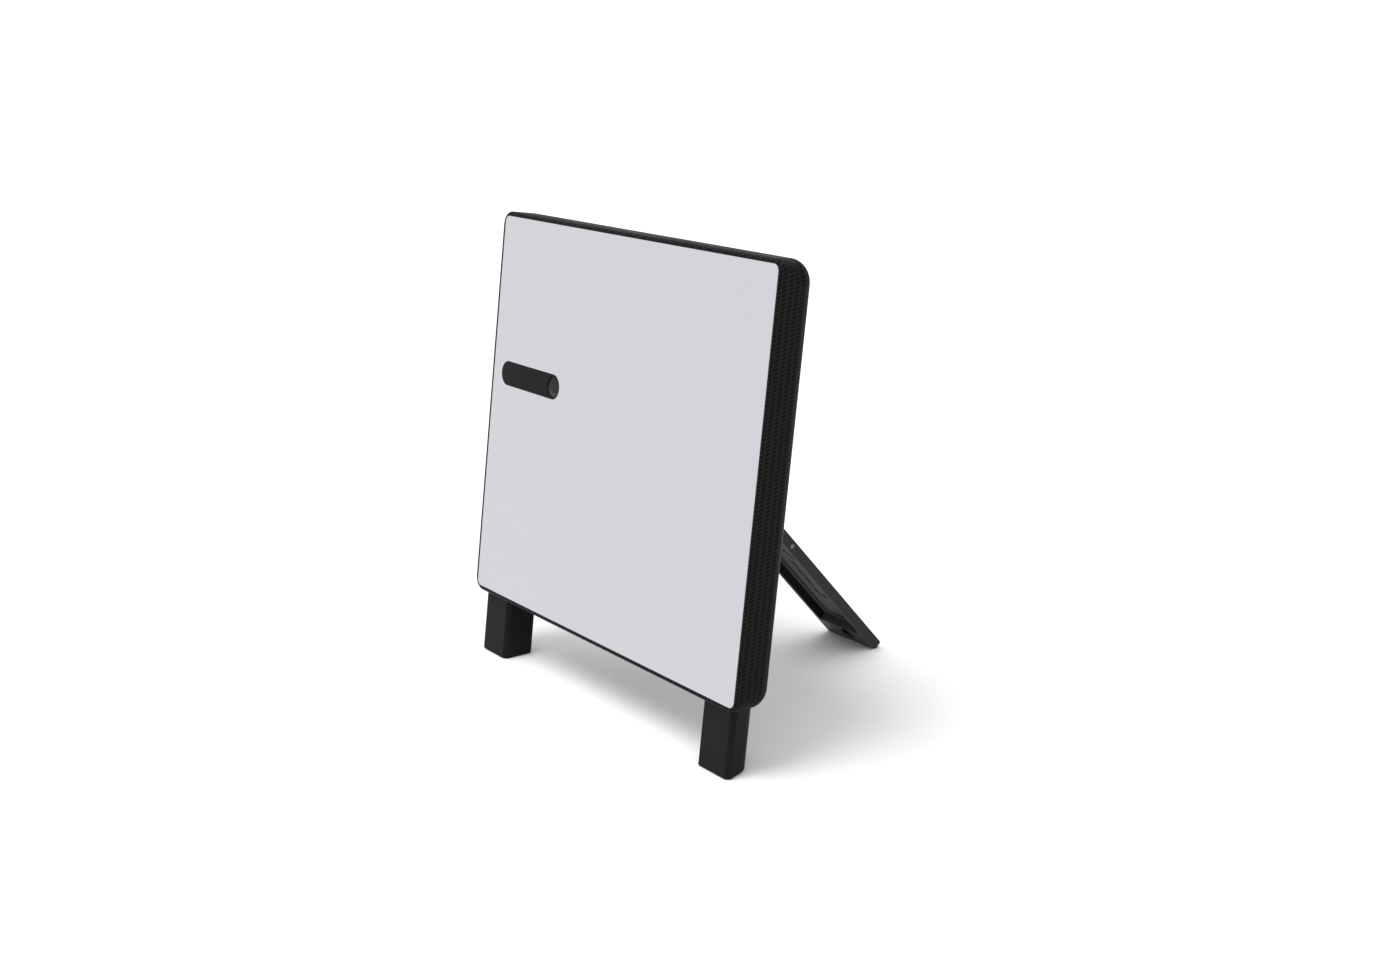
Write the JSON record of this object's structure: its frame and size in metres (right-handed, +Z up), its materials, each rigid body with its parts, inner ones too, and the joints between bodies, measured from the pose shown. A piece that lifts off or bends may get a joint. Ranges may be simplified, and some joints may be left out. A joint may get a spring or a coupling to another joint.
{
  "type": "golf launch monitor",
  "caption": "Upright ball-tracking radar and camera unit: pale flat front in a dark woven rim, two short sliding front legs and a hinged telescoping rear stand.",
  "frame": {"origin": "centre of the bounding box's bottom, on the floor between the feet", "axes": "+X to the right seen from the front, along the width; +Y from the front to the back; +Z up"},
  "size_m": [0.307, 0.2176, 0.2997],
  "materials": {
    "housing_shell": "woven carbon look, satin",
    "panel_face": "pale grey, satin",
    "black_tape": "matt",
    "black_seal": "matt",
    "window_glass": "dark, smooth",
    "lens_glass": "clear",
    "green_board": "solder mask",
    "black_plastic": "moulded",
    "screw_steel": "zinc plated",
    "frame_aluminium": "bare sheet",
    "gold_copper": "gold plated",
    "spacer_brass": "turned",
    "shield_steel": "tinned",
    "bracket_steel": "black coated",
    "pin_steel": "ground",
    "washer_plastic": "natural nylon",
    "battery_case": "wrapped cells",
    "led_body": "clear epoxy",
    "light_guide": "frosted",
    "leg_plastic": "fine texture",
    "foot_rubber": "matt",
    "arm_plastic": "satin",
    "stand_plastic": "satin",
    "door_plastic": "fine texture",
    "button_plastic": "satin"
  },
  "bodies": {
    "housing": {"housing": "housing_shell", "front_panel": "panel_face", "panel_tape": "black_tape", "panel_seal": "black_seal", "camera_window": "window_glass", "lens_cover": "lens_glass", "camera_board": "green_board", "lens_holder": "black_plastic", "lens_barrel": "black_plastic", "camera_lens": "lens_glass", "camera_screws": "screw_steel", "chassis_plate": "frame_aluminium", "chassis_screws": "screw_steel", "antenna_board": "green_board", "antenna_patches": "gold_copper", "antenna_spacers": "spacer_brass", "antenna_screws": "screw_steel", "radar_shield": "shield_steel", "main_board": "green_board", "board_spacers": "spacer_brass", "board_screws": "screw_steel", "processor_shield": "shield_steel", "radio_module": "shield_steel", "link_connector": "black_plastic", "right_leg_guide": "black_plastic", "left_leg_guide": "black_plastic", "guide_screws": "screw_steel", "stand_bracket": "bracket_steel", "bracket_screws": "screw_steel", "stand_hinge_pin": "pin_steel", "stand_washers": "washer_plastic", "battery_cradle": "black_plastic", "battery_pack": "battery_case", "battery_contacts": "gold_copper", "door_pins": "pin_steel", "side_board": "green_board", "side_screws": "screw_steel", "usb_socket": "shield_steel", "power_jack": "black_plastic", "cover_pins": "pin_steel", "button_switch": "black_plastic", "status_led": "led_body", "light_pipe": "light_guide"},
    "right_leg": {"right_leg": "leg_plastic", "right_leg_pad": "foot_rubber"},
    "left_leg": {"left_leg": "leg_plastic", "left_leg_pad": "foot_rubber"},
    "stand_arm": {"stand_arm": "arm_plastic"},
    "stand_leg": {"stand_leg": "stand_plastic", "guide_pins": "pin_steel", "stand_pad": "foot_rubber"},
    "battery_door": {"battery_door": "door_plastic"},
    "port_cover": {"port_cover": "door_plastic"},
    "power_button": {"power_button": "button_plastic"}
  },
  "joints": [
    {"name": "right_leg_slide", "type": "slide", "parent": "housing", "child": "right_leg", "axis": [0, 0.1392, 0.9903], "range_m": [0, 0.04]},
    {"name": "left_leg_slide", "type": "slide", "parent": "housing", "child": "left_leg", "axis": [0, 0.1392, 0.9903], "range_m": [0, 0.04]},
    {"name": "stand_hinge", "type": "hinge", "parent": "housing", "child": "stand_arm", "pos_m": [0, -0.05175, 0.18558], "axis": [1, 0, 0], "range_deg": [-48, 0]},
    {"name": "stand_slide", "type": "slide", "parent": "stand_arm", "child": "stand_leg", "axis": [0, -0.6521, 0.7581], "range_m": [0, 0.086]},
    {"name": "battery_door_hinge", "type": "hinge", "parent": "housing", "child": "battery_door", "pos_m": [-0.10425, -0.04885, 0.1674], "axis": [0, 0.1392, 0.9903], "range_deg": [0, 110]},
    {"name": "port_cover_hinge", "type": "hinge", "parent": "housing", "child": "port_cover", "pos_m": [0.071, -0.0579, 0.10304], "axis": [-1, 0, 0], "range_deg": [0, 100]},
    {"name": "power_button_press", "type": "slide", "parent": "housing", "child": "power_button", "axis": [0, -0.9903, 0.1392], "range_m": [0, 0.0006], "stiffness_N_per_m": 1500, "springref_m": -0.0008}
  ]
}
